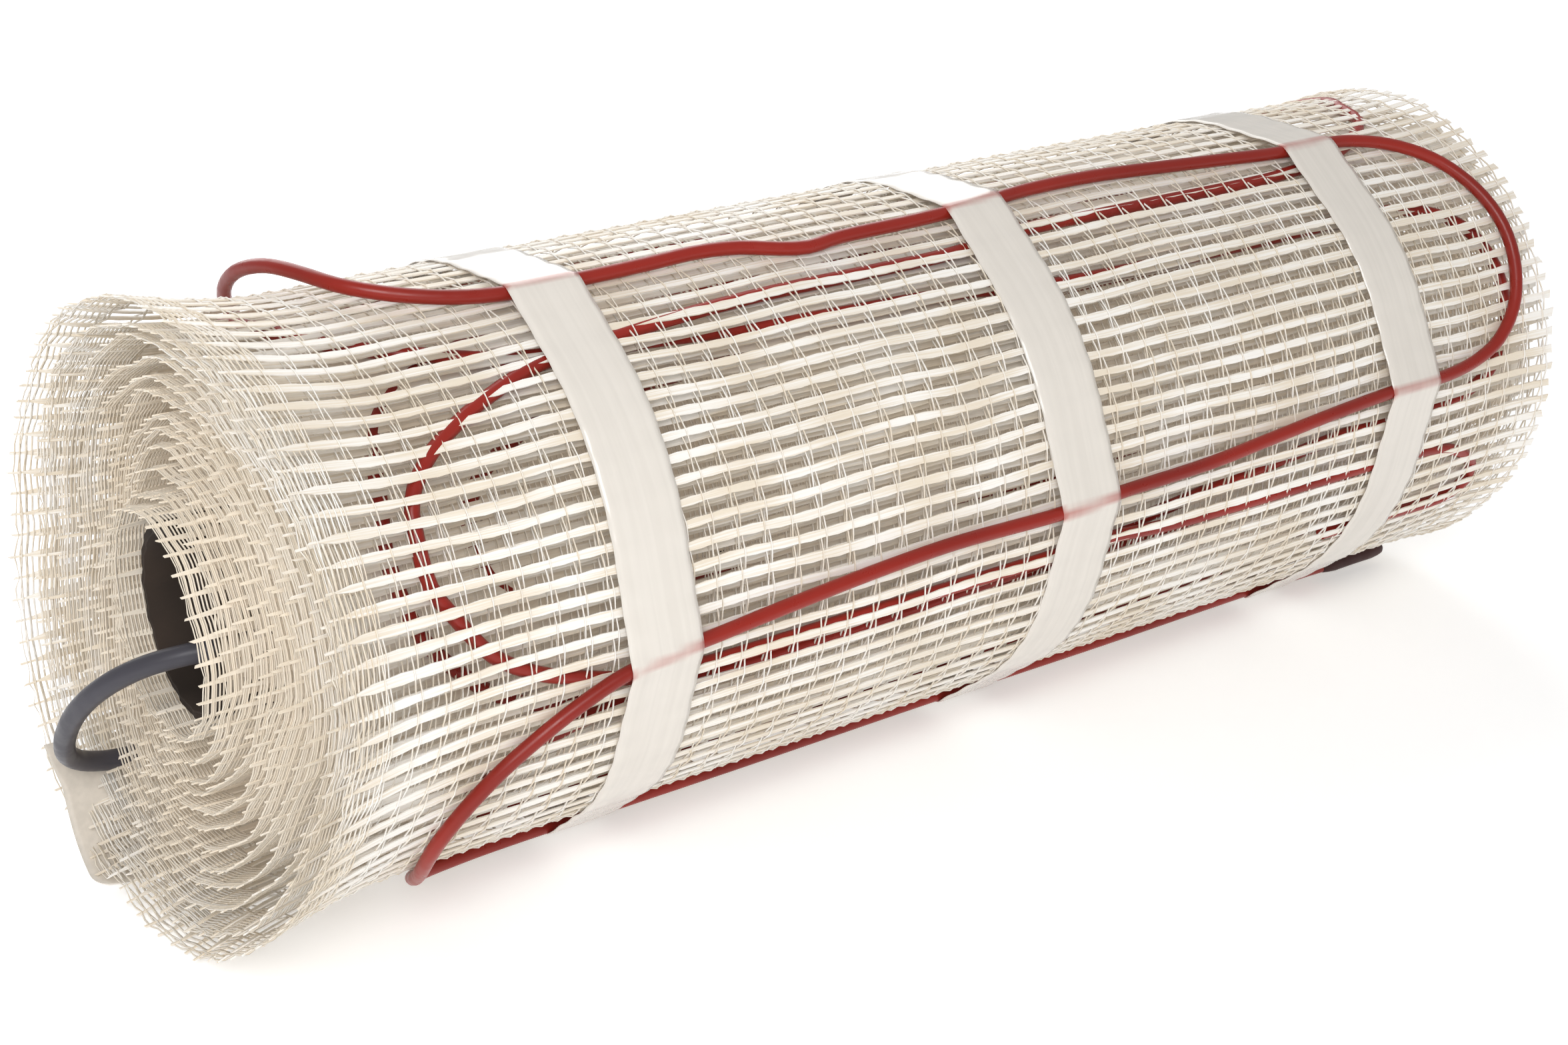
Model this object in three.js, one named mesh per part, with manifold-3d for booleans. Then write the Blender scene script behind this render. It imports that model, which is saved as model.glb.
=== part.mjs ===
// Rolled underfloor heating mat: glass-fibre mesh wound on a cardboard tube, with its heating
// cable on the outer turn, three film tapes round it and its supply lead tucked into the bore.
// Millimetres, +Z up, the roll lies along X with its winding end at -X.
// The origin is on the floor, under the middle of the roll.
import * as THREE from 'three';
import { mergeVertices } from 'three/addons/utils/BufferGeometryUtils.js';
import Module from 'manifold-3d';

const wasm = await Module();
wasm.setup();

// Mat and roll
const matWidth = 500;
const turnCount = 12;
const rollRadius = 89.2;
const rimFlare = 5.8;
const nearFlareLength = 20;
const farFlareLength = 12;
const grooveDepth = 3;
// How far each turn's near edge stands back from the roll's near end
const innerSetBack = 0;
const middleSetBack = 6;
const outerSetBack = 2;
const roundSides = 48;

// Cardboard tube
const tubeRadius = 30;
const tubeWall = 3;
const tubeSetBack = 4;

// Heating cable and its end sleeve
const cableDiameter = 4.5;
const cableSides = 8;
const cableStep = 12;
const sleeveDiameter = 6.4;
const sleeveLength = 34;

// Tapes
const tapeWidth = 24;
const filmThickness = 0.5;
const tapePlaces = { near: -140, middle: 18.5, far: 169 };

// Supply lead and its label
const leadDiameter = 6.5;
const leadSides = 10;
const leadStep = 6;
const pocketDepth = 11;
const foldRadius = 3 * leadDiameter;
const hankNear = -214;
const hankFar = 230;
const labelNear = -281;
const labelFar = -255;
const labelThickness = 0.6;

const gap = 0.3;

// The places along the roll are given for a mat of this width
const drawnWidth = 500;

// Derived places
const widthShare = matWidth / drawnWidth;
const nearShift = (drawnWidth - matWidth) / 2;
const tubeBore = tubeRadius - tubeWall;
const rimRadius = rollRadius + rimFlare;
const rollHalf = (matWidth + middleSetBack + 2 * gap) / 2;
const axisHeight = rimRadius * Math.cos(Math.PI / roundSides);
const boreRadius = tubeRadius + gap;
const cableRadius = cableDiameter / 2;
const cableSeat = rollRadius + gap + cableRadius;
const leadRadius = leadDiameter / 2;

const colours = {
  mesh: { color: 0xe9e2d2, roughness: 0.7, metalness: 0 },
  cardboard: { color: 0x6b5a48, roughness: 0.9, metalness: 0 },
  cable: { color: 0x9c2a22, roughness: 0.35, metalness: 0 },
  sleeve: { color: 0x2a2a2c, roughness: 0.5, metalness: 0 },
  film: { color: 0xf2f0ea, roughness: 0.2, metalness: 0 },
  lead: { color: 0x4c4f5c, roughness: 0.45, metalness: 0 },
  label: { color: 0xf0ece4, roughness: 0.8, metalness: 0 },
};

const mat = new THREE.Group();

function addPiece(name, geometry, colour) {
  const mesh = new THREE.Mesh(geometry, new THREE.MeshStandardMaterial(colour));
  mesh.name = name;
  mat.add(mesh);
  return mesh;
}

// A point on the roll, from its place along X, its angle from the front (90 is the top)
// and its distance from the axis
function onRoll(x, degrees, radius) {
  const angle = THREE.MathUtils.degToRad(degrees);
  return new THREE.Vector3(x, -radius * Math.cos(angle), axisHeight + radius * Math.sin(angle));
}

// Turns a closed outline of [x, radius] points round the roll's axis
function turned(outline) {
  const points = outline.map(([x, radius]) => new THREE.Vector2(radius, x));
  points.push(points[0].clone());
  const geometry = new THREE.LatheGeometry(points, roundSides, Math.PI / roundSides);
  geometry.rotateZ(-Math.PI / 2);
  geometry.translate(0, 0, axisHeight);
  return geometry;
}

function solidFrom(geometry) {
  const bare = geometry.clone();
  bare.deleteAttribute('normal');
  bare.deleteAttribute('uv');
  const merged = mergeVertices(bare, 1e-4);
  const vertProperties = new Float32Array(merged.attributes.position.array);
  const triVerts = new Uint32Array(merged.index.array);
  return new wasm.Manifold(new wasm.Mesh({ numProp: 3, vertProperties, triVerts }));
}

function geometryFrom(solid) {
  const { vertProperties, triVerts } = solid.getMesh();
  const geometry = new THREE.BufferGeometry();
  geometry.setAttribute('position', new THREE.BufferAttribute(vertProperties, 3));
  geometry.setIndex(new THREE.BufferAttribute(triVerts, 1));
  return geometry;
}

function tubeAlong(curve, radius, sides, step) {
  curve.arcLengthDivisions = 3000;
  const section = new THREE.Shape();
  for (let i = 0; i < sides; i += 1) {
    const angle = (2 * Math.PI * i) / sides;
    const corner = [radius * Math.cos(angle), radius * Math.sin(angle)];
    if (i === 0) section.moveTo(...corner);
    else section.lineTo(...corner);
  }
  section.closePath();
  const steps = Math.ceil(curve.getLength() / step);
  return new THREE.ExtrudeGeometry(section, { steps, extrudePath: curve, bevelEnabled: false });
}

// A section in [y, z], run along X from low to high
function acrossRoll(section, low, high) {
  const shape = { depth: high - low, bevelEnabled: false };
  const geometry = new THREE.ExtrudeGeometry(section, shape);
  const along = new THREE.Vector3(1, 0, 0);
  const sideways = new THREE.Vector3(0, 1, 0);
  const upward = new THREE.Vector3(0, 0, 1);
  geometry.applyMatrix4(new THREE.Matrix4().makeBasis(sideways, upward, along));
  geometry.translate(low, 0, 0);
  return geometry;
}

// Where the near edge of a turn lies, for a share of the way from the bore to the outside
function nearEdge(share) {
  const setBack = share < 0.5
    ? THREE.MathUtils.lerp(innerSetBack, middleSetBack, share * 2)
    : THREE.MathUtils.lerp(middleSetBack, outerSetBack, share * 2 - 1);
  return -rollHalf + setBack;
}

// One end of the roll: each turn ends in a crest, with a groove between it and the next
function endOutline(edgeAt, inward) {
  const outline = [[edgeAt(0), boreRadius]];
  for (let turn = 0; turn < turnCount; turn += 1) {
    const crest = (turn + 0.5) / turnCount;
    const groove = (turn + 1) / turnCount;
    outline.push([edgeAt(crest), THREE.MathUtils.lerp(boreRadius, rimRadius, crest)]);
    const depth = turn < turnCount - 1 ? grooveDepth * inward : 0;
    outline.push([edgeAt(groove) + depth, THREE.MathUtils.lerp(boreRadius, rimRadius, groove)]);
  }
  return outline;
}

function matRoll() {
  const near = endOutline(nearEdge, 1);
  const far = endOutline((share) => nearEdge(share) + matWidth, -1);
  const flareEnds = [
    [nearEdge(1) + nearFlareLength, rollRadius],
    [nearEdge(1) + matWidth - farFlareLength, rollRadius],
  ];
  const roll = solidFrom(turned([...near, ...flareEnds, ...far.reverse()]));
  const depth = pocketDepth + outerSetBack + gap;
  const pocket = new THREE.CylinderGeometry(leadRadius + gap, leadRadius + gap, 2 * depth, 16);
  pocket.rotateZ(Math.PI / 2);
  const [x, y, z] = leadPoints[0];
  pocket.translate(x + nearShift + gap - depth, y, z);
  return geometryFrom(roll.subtract(solidFrom(pocket)));
}

function coreTube() {
  const near = -rollHalf + tubeSetBack;
  const far = rollHalf;
  return turned([[near, tubeBore], [near, tubeRadius], [far, tubeRadius], [far, tubeBore]]);
}

// The heating cable's line on the outer turn: [x, degrees, lift off the mesh]
const cablePoints = [
  [200, -71, 0.9], [190, -71, 0.7], [150, -70, 0], [80, -69, 0], [0, -69.5, 0], [-80, -68.5, 0],
  [-140, -68.5, 0], [-180, -67.5, 0], [-200, -63.2, 0], [-204.5, -56, 0], [-207.5, -47.5, 0],
  [-209, -39, 0], [-207.5, -31.5, 0], [-201.5, -23.5, 0], [-192, -16.7, 0], [-178.5, -10.7, 0],
  [-165, -6.4, 0], [-151.5, -3.5, 0], [-116.5, -0.9, 0], [-89.5, 0.8, 0], [-62.5, 2.2, 0],
  [-35.5, 3, 0], [8, 2.7, 0], [32, 3.5, 0], [72.5, 4.2, 0], [99.5, 5.6, 0], [126.5, 7, 0],
  [157.5, 8.2, 0], [191, 8.7, 0], [205, 10.4, 0], [215.5, 13.3, 0], [225, 19.4, 0],
  [230.5, 28, 0], [232, 38.3, 0], [228, 48.6, 0], [218.5, 58.9, 0], [205, 65.8, 0],
  [191, 69.2, 0], [180.5, 70.1, 0], [156, 70.1, 0], [126.5, 71.8, 0], [99.5, 73.5, 0],
  [72.5, 74.9, 0], [45.5, 74.7, 0], [16, 72.6, 0], [-8.5, 71.8, 0], [-35.5, 71.4, 0],
  [-49, 70.3, 0], [-58, 71.5, 0], [-70.5, 74.4, 0], [-84, 75.5, 0], [-103, 74.9, 0],
  [-127.5, 74.4, 0], [-154, 74.7, 0], [-170.5, 76.9, 0.5], [-185.5, 81.2, 1.5],
  [-195, 86.4, 2.5], [-200, 93.3, 3.5], [-204.5, 103.6, 5], [-207, 114, 5], [-206, 124, 3.5],
  [-200, 134, 1.5], [-189, 141, 0.5], [-172, 145, 0], [-150, 147, 0], [-90, 147, 0],
  [-30, 148, 0], [30, 148, 0], [90, 149, 0], [145, 150, 0], [185, 152, 0], [205, 156, 0],
  [220, 163, 0], [228, 174, 0], [230.5, 186, 0], [226, 198, 0], [215, 208, 0], [198, 214, 0],
  [170, 217, 0], [110, 218, 0], [40, 218, 0], [-40, 218, 0], [-110, 218, 0], [-160, 219, 0],
  [-182, 222, 0], [-196, 229, 0], [-204, 238, 0], [-207, 247, 0],
];

class CableLine extends THREE.Curve {
  constructor() {
    super();
    const flat = cablePoints.map(([x, degrees, lift]) => (
      new THREE.Vector3(x * widthShare, THREE.MathUtils.degToRad(degrees) * cableSeat, lift)
    ));
    this.flat = new THREE.CatmullRomCurve3(flat, false, 'centripetal');
  }

  getPoint(t, target = new THREE.Vector3()) {
    const { x, y, z } = this.flat.getPoint(t);
    return target.copy(onRoll(x, THREE.MathUtils.radToDeg(y / cableSeat), cableSeat + z));
  }
}

function endSleeve() {
  const [x, degrees, lift] = cablePoints[0];
  const sleeve = new THREE.CylinderGeometry(sleeveDiameter / 2, sleeveDiameter / 2, sleeveLength, 16);
  sleeve.rotateZ(Math.PI / 2);
  const middle = onRoll(x * widthShare + gap + sleeveLength / 2, degrees, cableSeat + lift);
  sleeve.translate(middle.x, middle.y, middle.z);
  return sleeve;
}

// The corners, in order, of the smallest convex outline round some [y, z] points
function convexOutline(points) {
  const sorted = [...points].sort((a, b) => a[0] - b[0] || a[1] - b[1]);
  const turnsLeft = (a, b, c) => (
    (b[0] - a[0]) * (c[1] - a[1]) - (b[1] - a[1]) * (c[0] - a[0]) > 1e-6
  );
  const half = (ordered) => {
    const kept = [];
    for (const point of ordered) {
      while (kept.length > 1 && !turnsLeft(kept.at(-2), kept.at(-1), point)) kept.pop();
      kept.push(point);
    }
    return kept.slice(0, -1);
  };
  return [...half(sorted), ...half(sorted.reverse())];
}

// Corners of a polygon that a circle fits inside, with a side centred on the bottom
function ringCorners([y, z], radius, sides) {
  const corners = [];
  for (let i = 0; i < sides; i += 1) {
    const angle = (2 * Math.PI * (i + 0.5)) / sides - Math.PI / 2;
    const reach = radius / Math.cos(Math.PI / sides);
    corners.push([y + reach * Math.cos(angle), z + reach * Math.sin(angle)]);
  }
  return corners;
}

// A film drawn tight round the roll and over the cable runs beneath it
function tapeBand(middle, cableLine) {
  const low = middle - tapeWidth / 2;
  const high = middle + tapeWidth / 2;
  const beneath = cableLine
    .filter(({ x }) => x > low - cableDiameter && x < high + cableDiameter)
    .map(({ y, z }) => [y, z]);
  const outlineAt = (off) => convexOutline([
    ...ringCorners([0, axisHeight], rollRadius + off, roundSides),
    ...beneath.flatMap((centre) => ringCorners(centre, cableRadius + off, cableSides + 4)),
  ]);
  const path = (off) => outlineAt(off).map(([y, z]) => new THREE.Vector2(y, z));
  const section = new THREE.Shape(path(gap + filmThickness));
  section.holes.push(new THREE.Path(path(gap)));
  return acrossRoll(section, low, high);
}

// The supply lead: out of its pocket between the turns, round in front of the roll's end and
// into the bore
const leadPoints = [
  [-240, 46, 31], [-247, 46, 31], [-254, 45.8, 31.2], [-263, 44.6, 32.8], [-271, 41, 37],
  [-276.5, 35.4, 43.3], [-279, 28.5, 51], [-279.5, 21, 59.5], [-278.5, 13.4, 68],
  [-275.5, 6, 75.8], [-270, -1, 82.6], [-262.5, -7.6, 87.8], [-253, -12.8, 90.6],
  [-243, -16.4, 91.4], [-232, -18.6, 91], [-221, -19.4, 90.8], [-207.6, -19.5, 90.75],
];

function leadTube() {
  const points = leadPoints.map(([x, y, z]) => new THREE.Vector3(x + nearShift, y, z));
  const line = new THREE.CatmullRomCurve3(points, false, 'centripetal');
  return tubeAlong(line, leadRadius, leadSides, leadStep);
}

// The rest of the lead, folded lengthways in the bore, two runs wide and two deep
function leadHank() {
  const half = foldRadius + leadRadius;
  const bore = tubeBore * Math.cos(Math.PI / roundSides) - gap;
  const underside = axisHeight - Math.sqrt(bore * bore - half * half);
  const near = hankNear + nearShift + half;
  const far = hankFar - nearShift - half;
  const outline = new THREE.Shape();
  outline.moveTo(near, -half);
  outline.lineTo(far, -half);
  outline.absarc(far, 0, half, -Math.PI / 2, Math.PI / 2, false);
  outline.lineTo(near, half);
  outline.absarc(near, 0, half, Math.PI / 2, 1.5 * Math.PI, false);
  const shape = { depth: 2 * leadDiameter, bevelEnabled: false, curveSegments: 10 };
  const hank = new THREE.ExtrudeGeometry(outline, shape);
  hank.translate(0, 0, underside);
  return hank;
}

// A paper flag stuck to the back of the lead, that hangs down and curls forward on the floor
const labelDrop = [[0, 44], [-0.5, 32], [-3, 20], [-9, 9], [-18, 2.5], [-27, 1.2]];

function leadLabel() {
  const [, pocketY] = leadPoints[0];
  const back = pocketY + leadRadius + gap + labelThickness / 2;
  const points = labelDrop.map(([y, z]) => new THREE.Vector2(back + y, z));
  const line = new THREE.SplineCurve(points);
  const sideAt = (share, off) => {
    const along = line.getTangent(share);
    return line.getPoint(share).add(new THREE.Vector2(along.y, -along.x).multiplyScalar(off));
  };
  const shares = Array.from({ length: 13 }, (_, i) => i / 12);
  const front = shares.map((share) => sideAt(share, labelThickness / 2));
  const rear = shares.map((share) => sideAt(share, -labelThickness / 2));
  const outline = new THREE.Shape([...front, ...rear.reverse()]);
  return acrossRoll(outline, labelNear + nearShift, labelFar + nearShift);
}

const cableLine = new CableLine();
const cableSolid = tubeAlong(cableLine, cableRadius, cableSides, cableStep);
const cableSamples = cableLine.getSpacedPoints(800);

addPiece('core_tube', coreTube(), colours.cardboard);
addPiece('mat_roll', matRoll(), colours.mesh);
addPiece('heating_cable', cableSolid, colours.cable);
addPiece('end_sleeve', endSleeve(), colours.sleeve);
for (const [place, middle] of Object.entries(tapePlaces)) {
  addPiece(`tape_${place}`, tapeBand(middle * widthShare, cableSamples), colours.film);
}
addPiece('supply_lead', leadTube(), colours.lead);
addPiece('lead_hank', leadHank(), colours.lead);
addPiece('lead_label', leadLabel(), colours.label);

export default mat;
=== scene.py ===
"""Rolled underfloor heating mat: every turn of its woven mesh, the heating cable, tapes and lead."""
import math

import bpy
import numpy as np
from mathutils import Matrix, Vector


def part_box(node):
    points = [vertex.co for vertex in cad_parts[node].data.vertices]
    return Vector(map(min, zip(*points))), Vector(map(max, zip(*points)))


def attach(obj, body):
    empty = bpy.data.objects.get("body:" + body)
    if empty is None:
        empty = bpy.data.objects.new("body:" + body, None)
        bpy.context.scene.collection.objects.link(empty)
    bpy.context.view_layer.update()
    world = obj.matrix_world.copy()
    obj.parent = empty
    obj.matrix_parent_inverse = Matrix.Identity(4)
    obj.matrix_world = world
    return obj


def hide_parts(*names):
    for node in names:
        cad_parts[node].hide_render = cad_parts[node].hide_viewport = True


bl_info = {
    "name": "Rolled Heating Mat",
    "version": (1, 0, 0),
    "blender": (4, 5, 0),
    "location": "View3D > Sidebar > Heating Mat",
    "description": "Makes a rolled underfloor heating mat with its cable, tapes and supply lead",
    "category": "Add Mesh",
}

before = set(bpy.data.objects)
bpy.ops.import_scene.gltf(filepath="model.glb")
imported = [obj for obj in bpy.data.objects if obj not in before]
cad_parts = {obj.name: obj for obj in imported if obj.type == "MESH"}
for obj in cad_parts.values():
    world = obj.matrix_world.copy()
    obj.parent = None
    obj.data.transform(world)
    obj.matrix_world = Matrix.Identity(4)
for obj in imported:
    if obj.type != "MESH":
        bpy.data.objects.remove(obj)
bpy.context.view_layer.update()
tube_low, tube_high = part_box("core_tube")
sleeve_low, sleeve_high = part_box("end_sleeve")
AXIS_HEIGHT = (tube_low.z + tube_high.z) / 2
MM = 0.001

# The angle round the roll is 0 at the front (-Y) and 90 at the top
TAIL_ANGLE = 254.0
ROLL_RADIUS = 89.2 * MM
CABLE_SEAT = 91.75 * MM
PAIR_COUNT = 51
PAIR_PITCH = 9.85 * MM
WEFT_PITCH = 6.4 * MM
RIBBON_THICKNESS = 0.45 * MM
PAIR_GAP = 1.7 * MM

# The near edge's single yarns: the outermost one's place along X, and how far in they reach
EDGE_YARN = -0.2492
EDGE_WIDTH = 12.5 * MM

TUBE_RADIUS = 30.0
TUBE_BORE = 27.0

# How near the cable's axis the film shows it, and how soon that fades
FILM_TOUCH = 2.6 * MM
FILM_FADE = 0.5 * MM

# The heating cable on the outer turn: [x in mm, degrees, lift off the mesh in mm]
OUTER_CABLE = [
    [200, -71, 0.9], [190, -71, 0.7], [150, -70, 0], [80, -69, 0], [0, -69.5, 0], [-80, -68.5, 0],
    [-140, -68.5, 0], [-180, -67.5, 0], [-200, -63.2, 0], [-204.5, -56, 0], [-207.5, -47.5, 0],
    [-209, -39, 0], [-207.5, -31.5, 0], [-201.5, -23.5, 0], [-192, -16.7, 0], [-178.5, -10.7, 0],
    [-165, -6.4, 0], [-151.5, -3.5, 0], [-116.5, -0.9, 0], [-89.5, 0.8, 0], [-62.5, 2.2, 0],
    [-35.5, 3, 0], [8, 2.7, 0], [32, 3.5, 0], [72.5, 4.2, 0], [99.5, 5.6, 0], [126.5, 7, 0],
    [157.5, 8.2, 0], [191, 8.7, 0], [205, 10.4, 0], [215.5, 13.3, 0], [225, 19.4, 0],
    [230.5, 28, 0], [232, 38.3, 0], [228, 48.6, 0], [218.5, 58.9, 0], [205, 65.8, 0],
    [191, 69.2, 0], [180.5, 70.1, 0], [156, 70.1, 0], [126.5, 71.8, 0], [99.5, 73.5, 0],
    [72.5, 74.9, 0], [45.5, 74.7, 0], [16, 72.6, 0], [-8.5, 71.8, 0], [-35.5, 71.4, 0],
    [-49, 70.3, 0], [-58, 71.5, 0], [-70.5, 74.4, 0], [-84, 75.5, 0], [-103, 74.9, 0],
    [-127.5, 74.4, 0], [-154, 74.7, 0], [-170.5, 76.9, 0.5], [-185.5, 81.2, 1.5],
    [-195, 86.4, 2.5], [-200, 93.3, 3.5], [-204.5, 103.6, 5], [-207, 114, 5], [-206, 124, 3.5],
    [-200, 134, 1.5], [-189, 141, 0.5], [-172, 145, 0], [-150, 147, 0], [-90, 147, 0],
    [-30, 148, 0], [30, 148, 0], [90, 149, 0], [145, 150, 0], [185, 152, 0], [205, 156, 0],
    [220, 163, 0], [228, 174, 0], [230.5, 186, 0], [226, 198, 0], [215, 208, 0], [198, 214, 0],
    [170, 217, 0], [110, 218, 0], [40, 218, 0], [-40, 218, 0], [-110, 218, 0], [-160, 219, 0],
    [-182, 222, 0], [-196, 229, 0], [-204, 238, 0], [-207, 247, 0],
]

# The cable on the second turn, seen through the outer one: [x in mm, degrees]
SECOND_CABLE = [
    [148, -30.5], [190, -31.5], [207.5, -32.2], [217, -30.5], [221, -27], [218.3, -20.2],
    [204.8, -14.2], [180.5, -11], [153.5, -10.7], [100, -10.5], [59, -9.9], [32, -8.5], [5, -9],
    [-60, -9], [-126.4, -9], [-150, -7], [-165.1, -3.9], [-178.6, -0.4], [-192.1, 5.6],
    [-201.5, 14.2], [-207, 21.1], [-207.4, 29.7], [-205.6, 36.5], [-197.5, 43.4], [-184, 49.4],
    [-170.5, 53.7], [-154.3, 57.5], [-124.6, 60.6], [-103, 62], [-70.6, 63.2], [-30, 63.2],
    [2.3, 63.4], [32, 65.8], [90, 66], [153.5, 66.3], [185, 69.5], [202, 74.4], [215.6, 81.2],
    [221, 89.8], [229, 100], [228, 112], [218, 122], [200, 128], [170, 131], [100, 132],
    [0, 132], [-120, 133], [-170, 136], [-195, 146], [-205, 160], [-203, 176], [-190, 188],
    [-160, 194], [-80, 195], [60, 195], [170, 196], [200, 200], [215, 212], [212, 228],
    [190, 238], [140, 241], [0, 241], [-120, 240],
]

# The cables on the third, fourth and fifth turns
THIRD_CABLE = [
    [60, 132], [-100, 132], [-170, 131], [-198, 127], [-213, 117], [-218, 104], [-215, 93],
    [-206, 81.5], [-193, 74], [-177, 68.5], [-160, 64], [-140, 62], [-110, 60], [-60, 57],
    [0, 55], [32, 52], [90, 51], [150, 51], [185, 51.5], [208, 49], [224, 42], [232, 30],
    [231, 16], [222, 4], [205, -1], [180, -2], [150, -2], [60, -8], [0, -13], [-60, -15],
    [-140, -16], [-165, -18], [-185, -25], [-196, -38], [-196, -52], [-185, -64], [-150, -70],
    [0, -72], [150, -73],
]
FOURTH_CABLE = [
    [100, 78], [-60, 78], [-140, 77], [-165, 74], [-184, 68.5], [-197, 61.5], [-203, 57],
    [-207, 50], [-210, 40], [-213, 29.5], [-212, 20.5], [-208, 10.5], [-197, 0], [-185, -8],
    [-168, -14], [-140, -17], [0, -18], [120, -19], [175, -20], [200, -27], [212, -40],
    [205, -54], [180, -62], [100, -63], [0, -63],
]
FIFTH_CABLE = [
    [100, 54], [-60, 55], [-125, 54], [-150, 51.5], [-168, 46], [-181, 38], [-186, 28],
    [-181, 17], [-165, 10], [-125, 7], [-70, 7.5], [-8, 7], [60, 4], [150, 3], [200, 0],
]

# The supply lead from its pocket between the turns, round and into the bore, in mm
LEAD_POINTS = [
    [-240, 46, 31], [-247, 46, 31], [-254, 45.8, 31.2], [-263, 44.6, 32.8], [-271, 41, 37],
    [-276.5, 35.4, 43.3], [-279, 28.5, 51], [-279.5, 21, 59.5], [-278.5, 13.4, 68],
    [-275.5, 6, 75.8], [-270, -1, 82.6], [-262.5, -7.6, 87.8], [-253, -12.8, 90.6],
    [-243, -16.4, 91.4], [-232, -18.6, 91], [-221, -19.4, 90.8],
]
HANK_NEAR, HANK_FAR, HANK_SIDE = -191.25, 207.25, 19.5
HANK_UPPER, HANK_LOWER = 90.7, 84.2

# The label's drop behind the lead: [y off the lead in mm, z in mm]
LABEL_DROP = [[0, 41], [-0.5, 32], [-3, 20], [-9, 9], [-18, 2.5], [-27, 1.2]]


def on_roll(x, degrees, radius):
    """A point on the roll, from its place along X, its angle from the front and its radius."""
    angle = math.radians(degrees)
    return Vector((x, -radius * math.cos(angle), AXIS_HEIGHT + radius * math.sin(angle)))


def smooth_line(points, step):
    """Points about one step apart on a centripetal Catmull-Rom curve through the given ones."""
    points = [np.array(p, float) for p in points]
    before = 2 * points[0] - points[1]
    after = 2 * points[-1] - points[-2]
    line = []
    padded = [before, *points, after]
    for a, b, c, d in zip(padded, padded[1:], padded[2:], padded[3:]):
        ta = 0.0
        tb = ta + math.sqrt(np.linalg.norm(b - a))
        tc = tb + math.sqrt(np.linalg.norm(c - b))
        td = tc + math.sqrt(np.linalg.norm(d - c))
        count = max(1, round(np.linalg.norm(c - b) / step))
        for i in range(count):
            t = tb + (tc - tb) * i / count
            ab = ((tb - t) * a + (t - ta) * b) / (tb - ta)
            bc = ((tc - t) * b + (t - tb) * c) / (tc - tb)
            cd = ((td - t) * c + (t - tc) * d) / (td - tc)
            abc = ((tc - t) * ab + (t - ta) * bc) / (tc - ta)
            bcd = ((td - t) * bc + (t - tb) * cd) / (td - tb)
            line.append(((tc - t) * abc + (t - tb) * bcd) / (tc - tb))
    line.append(points[-1])
    return line


def cable_line(points, seat, step=4.0):
    """The cable's line in metres, from its points on the unrolled mat."""
    flat = [[p[0], math.radians(p[1]) * seat / MM, p[2] if len(p) > 2 else 0] for p in points]
    line = smooth_line(flat, step)
    return [on_roll(x * MM, math.degrees(y * MM / seat), seat + lift * MM) for x, y, lift in line]


class Tree:
    """One node tree, with short calls that add nodes and link them."""

    def __init__(self, tree):
        self.tree = tree

    def add(self, kind, inputs=None, **settings):
        node = self.tree.nodes.new(kind)
        for name, value in settings.items():
            setattr(node, name, value)
        for key, value in (inputs or {}).items():
            if isinstance(value, bpy.types.NodeSocket):
                self.tree.links.new(value, node.inputs[key])
            else:
                node.inputs[key].default_value = value
        return node

    def math(self, operation, *values, clamp=False):
        inputs = dict(enumerate(values))
        return self.add("ShaderNodeMath", inputs, operation=operation, use_clamp=clamp).outputs[0]

    def vector(self, x=0.0, y=0.0, z=0.0):
        return self.add("ShaderNodeCombineXYZ", {0: x, 1: y, 2: z}).outputs[0]

    def split(self, vector):
        return self.add("ShaderNodeSeparateXYZ", {0: vector}).outputs

    def ramp(self, value, low, high, to_low=0.0, to_high=1.0):
        """The value's share of the way from low to high, smoothed, between two results."""
        inputs = {"Value": value, "From Min": low, "From Max": high, "To Min": to_low, "To Max": to_high}
        return self.add("ShaderNodeMapRange", inputs, interpolation_type="SMOOTHSTEP").outputs["Result"]

    def noise(self, vector, scale, detail=1.0):
        """Noise from about -0.5 to 0.5."""
        inputs = {"Vector": vector, "Scale": scale, "Detail": detail}
        node = self.add("ShaderNodeTexNoise", inputs)
        return self.math("SUBTRACT", node.outputs[0], 0.5)


def geometry_tree(name, inputs):
    """A geometry node tree with the named inputs, its group input's sockets, and its helper."""
    tree = bpy.data.node_groups.new(name, "GeometryNodeTree")
    tree.interface.new_socket("Geometry", in_out="INPUT", socket_type="NodeSocketGeometry")
    tree.interface.new_socket("Geometry", in_out="OUTPUT", socket_type="NodeSocketGeometry")
    for label, kind, default in inputs:
        socket = tree.interface.new_socket(label, in_out="INPUT", socket_type=kind)
        if default is not None:
            socket.default_value = default
    helper = Tree(tree)
    return helper, helper.add("NodeGroupInput").outputs


def bake(name, source, tree, values):
    """Runs a node tree on a source mesh and keeps the result as a plain mesh object."""
    carrier = bpy.data.objects.new(name + "_source", source)
    bpy.context.scene.collection.objects.link(carrier)
    modifier = carrier.modifiers.new(name, "NODES")
    modifier.node_group = tree
    identifiers = {}
    for item in tree.interface.items_tree:
        if item.item_type == "SOCKET" and item.in_out == "INPUT":
            identifiers[item.name] = item.identifier
    for label, value in values.items():
        modifier[identifiers[label]] = value
    graph = bpy.context.evaluated_depsgraph_get()
    mesh = bpy.data.meshes.new_from_object(carrier.evaluated_get(graph), depsgraph=graph)
    bpy.data.objects.remove(carrier)
    mesh.name = name
    if not mesh.polygons:
        raise RuntimeError(f"{name} came out empty")
    return place(name, mesh)


def place(name, mesh):
    """Adds a finished mesh to the scene at the origin."""
    piece = bpy.data.objects.new(name, mesh)
    bpy.context.scene.collection.objects.link(piece)
    return piece


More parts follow.
